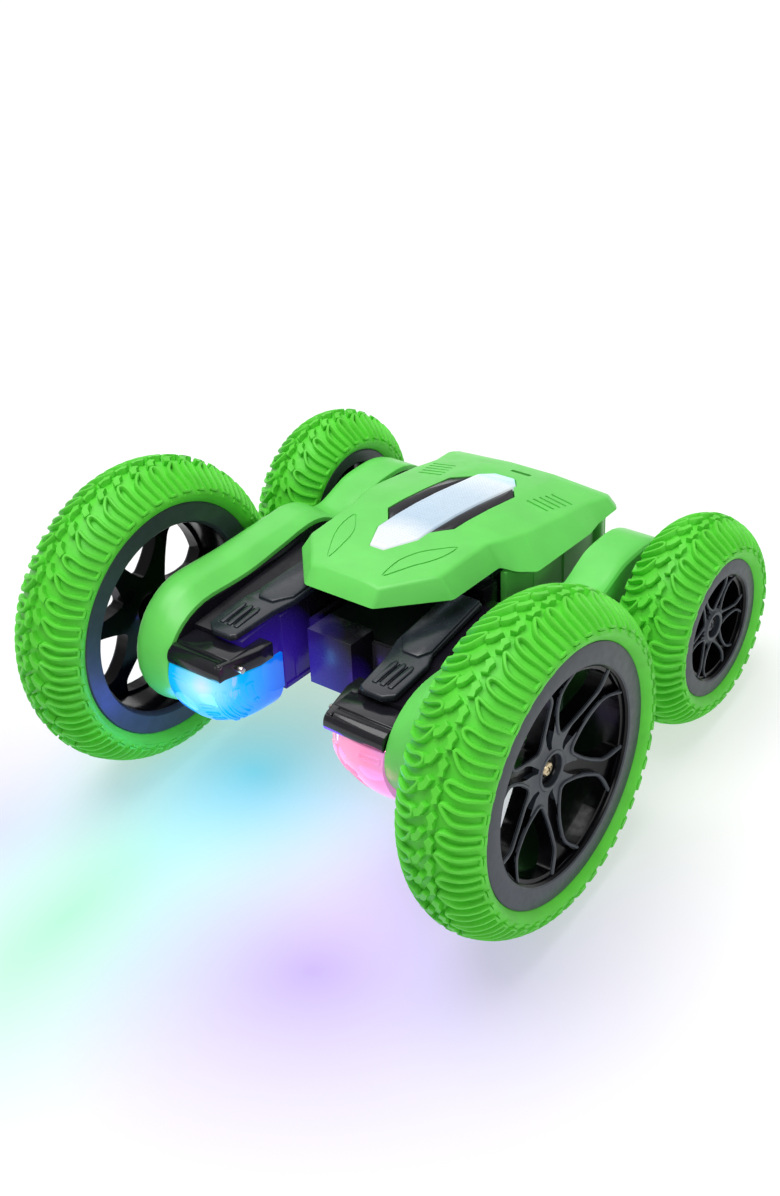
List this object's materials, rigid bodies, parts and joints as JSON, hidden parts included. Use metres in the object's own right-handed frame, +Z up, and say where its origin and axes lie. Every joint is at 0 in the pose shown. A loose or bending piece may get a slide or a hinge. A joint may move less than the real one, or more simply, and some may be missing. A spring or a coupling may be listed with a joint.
{
  "type": "rc stunt car",
  "caption": "Double-sided remote control stunt car on rocking gear-driven side arms, large front and small rear tyres, lit lamps.",
  "frame": {"origin": "on the ground under the centre of the bounding box", "axes": "+Z up, the nose faces -Y, +X is the car's own left"},
  "size_m": [0.1636, 0.1624, 0.0942],
  "materials": {
    "green_plastic": "satin moulded plastic",
    "tyre_rubber": "soft green rubber",
    "rim_plastic": "satin black",
    "black_plastic": "black moulded plastic",
    "black_gloss": "polished black",
    "clear_lens": "ribbed clear",
    "blue_lens": "tinted clear",
    "pink_lens": "tinted clear",
    "steel": "plated",
    "brass": "machined",
    "nylon": "natural nylon",
    "board": "solder mask",
    "battery_wrap": "heat-shrink wrap"
  },
  "bodies": {
    "chassis": {"chassis_frame": "black_plastic", "top_cover": "green_plastic", "belly_cover": "green_plastic", "battery_door": "green_plastic", "battery_door_screw": "steel", "battery_pack": "battery_wrap", "control_board": "board", "roof_light_lens": "clear_lens", "roof_light_board": "board", "roof_led_strip": "clear_lens", "left_roof_strip": "black_gloss", "right_roof_strip": "black_gloss", "pivot_axle": "steel"},
    "switch": {"power_switch_knob": "black_plastic"},
    "left_arm": {"left_arm_shell": "green_plastic", "left_inner_case": "black_plastic", "left_arm_trim": "black_gloss", "left_front_bumper": "black_gloss", "left_headlight_lens": "pink_lens", "left_headlight_board": "board", "left_headlight_led": "clear_lens", "left_motor": "steel"},
    "left_front_wheel": {"left_front_tyre": "tyre_rubber", "left_front_rim": "rim_plastic", "left_front_hub_screw": "steel", "left_front_axle": "steel", "left_front_gear": "nylon"},
    "left_rear_wheel": {"left_rear_tyre": "tyre_rubber", "left_rear_rim": "rim_plastic", "left_rear_hub_screw": "steel", "left_rear_axle": "steel", "left_rear_gear": "nylon"},
    "left_idler_1": {"left_idler_gear_1": "nylon", "left_reduction_gear": "nylon"},
    "left_idler_2": {"left_idler_gear_2": "nylon"},
    "left_idler_3": {"left_idler_gear_3": "nylon"},
    "left_pinion": {"left_motor_pinion": "brass"},
    "right_arm": {"right_arm_shell": "green_plastic", "right_inner_case": "black_plastic", "right_arm_trim": "black_gloss", "right_front_bumper": "black_gloss", "right_headlight_lens": "blue_lens", "right_headlight_board": "board", "right_headlight_led": "clear_lens", "right_motor": "steel"},
    "right_front_wheel": {"right_front_tyre": "tyre_rubber", "right_front_rim": "rim_plastic", "right_front_hub_screw": "steel", "right_front_axle": "steel", "right_front_gear": "nylon"},
    "right_rear_wheel": {"right_rear_tyre": "tyre_rubber", "right_rear_rim": "rim_plastic", "right_rear_hub_screw": "steel", "right_rear_axle": "steel", "right_rear_gear": "nylon"},
    "right_idler_1": {"right_idler_gear_1": "nylon", "right_reduction_gear": "nylon"},
    "right_idler_2": {"right_idler_gear_2": "nylon"},
    "right_idler_3": {"right_idler_gear_3": "nylon"},
    "right_pinion": {"right_motor_pinion": "brass"}
  },
  "joints": [
    {"name": "power_switch_slide", "type": "slide", "parent": "chassis", "child": "switch", "axis": [1, 0, 0], "range_m": [0, 0.004]},
    {"name": "left_arm_rock", "type": "hinge", "parent": "chassis", "child": "left_arm", "pos_m": [0, 0.01564, 0.03789], "axis": [1, 0, 0], "range_deg": [-5, 5]},
    {"name": "left_front_wheel_spin", "type": "hinge", "parent": "left_arm", "child": "left_front_wheel", "pos_m": [0.046, -0.03411, 0.0471], "axis": [1, 0, 0], "continuous": true},
    {"name": "left_rear_wheel_spin", "type": "hinge", "parent": "left_arm", "child": "left_rear_wheel", "pos_m": [0.046, 0.04966, 0.0316], "axis": [1, 0, 0], "continuous": true},
    {"name": "left_idler_1_spin", "type": "hinge", "parent": "left_arm", "child": "left_idler_1", "pos_m": [0.046, -0.00992, 0.04262], "axis": [1, 0, 0], "continuous": true},
    {"name": "left_idler_2_spin", "type": "hinge", "parent": "left_arm", "child": "left_idler_2", "pos_m": [0.046, 0.01013, 0.03891], "axis": [1, 0, 0], "continuous": true},
    {"name": "left_idler_3_spin", "type": "hinge", "parent": "left_arm", "child": "left_idler_3", "pos_m": [0.046, 0.03019, 0.0352], "axis": [1, 0, 0], "continuous": true},
    {"name": "left_pinion_spin", "type": "hinge", "parent": "left_arm", "child": "left_pinion", "pos_m": [0.046, -0.02616, 0.0442], "axis": [1, 0, 0], "continuous": true},
    {"name": "right_arm_rock", "type": "hinge", "parent": "chassis", "child": "right_arm", "pos_m": [0, 0.01564, 0.03789], "axis": [1, 0, 0], "range_deg": [-5, 5]},
    {"name": "right_front_wheel_spin", "type": "hinge", "parent": "right_arm", "child": "right_front_wheel", "pos_m": [-0.046, -0.03411, 0.0471], "axis": [1, 0, 0], "continuous": true},
    {"name": "right_rear_wheel_spin", "type": "hinge", "parent": "right_arm", "child": "right_rear_wheel", "pos_m": [-0.046, 0.04966, 0.0316], "axis": [1, 0, 0], "continuous": true},
    {"name": "right_idler_1_spin", "type": "hinge", "parent": "right_arm", "child": "right_idler_1", "pos_m": [-0.046, -0.00992, 0.04262], "axis": [1, 0, 0], "continuous": true},
    {"name": "right_idler_2_spin", "type": "hinge", "parent": "right_arm", "child": "right_idler_2", "pos_m": [-0.046, 0.01013, 0.03891], "axis": [1, 0, 0], "continuous": true},
    {"name": "right_idler_3_spin", "type": "hinge", "parent": "right_arm", "child": "right_idler_3", "pos_m": [-0.046, 0.03019, 0.0352], "axis": [1, 0, 0], "continuous": true},
    {"name": "right_pinion_spin", "type": "hinge", "parent": "right_arm", "child": "right_pinion", "pos_m": [-0.046, -0.02616, 0.0442], "axis": [1, 0, 0], "continuous": true}
  ],
  "couplings": [
    {"joint": "left_rear_wheel_spin", "follows": "left_front_wheel_spin", "ratio": 1.5},
    {"joint": "left_idler_1_spin", "follows": "left_front_wheel_spin", "ratio": -1.5},
    {"joint": "left_idler_2_spin", "follows": "left_front_wheel_spin", "ratio": 1.5},
    {"joint": "left_idler_3_spin", "follows": "left_front_wheel_spin", "ratio": -1.5},
    {"joint": "left_pinion_spin", "follows": "left_front_wheel_spin", "ratio": 6},
    {"joint": "right_rear_wheel_spin", "follows": "right_front_wheel_spin", "ratio": 1.5},
    {"joint": "right_idler_1_spin", "follows": "right_front_wheel_spin", "ratio": -1.5},
    {"joint": "right_idler_2_spin", "follows": "right_front_wheel_spin", "ratio": 1.5},
    {"joint": "right_idler_3_spin", "follows": "right_front_wheel_spin", "ratio": -1.5},
    {"joint": "right_pinion_spin", "follows": "right_front_wheel_spin", "ratio": 6}
  ]
}
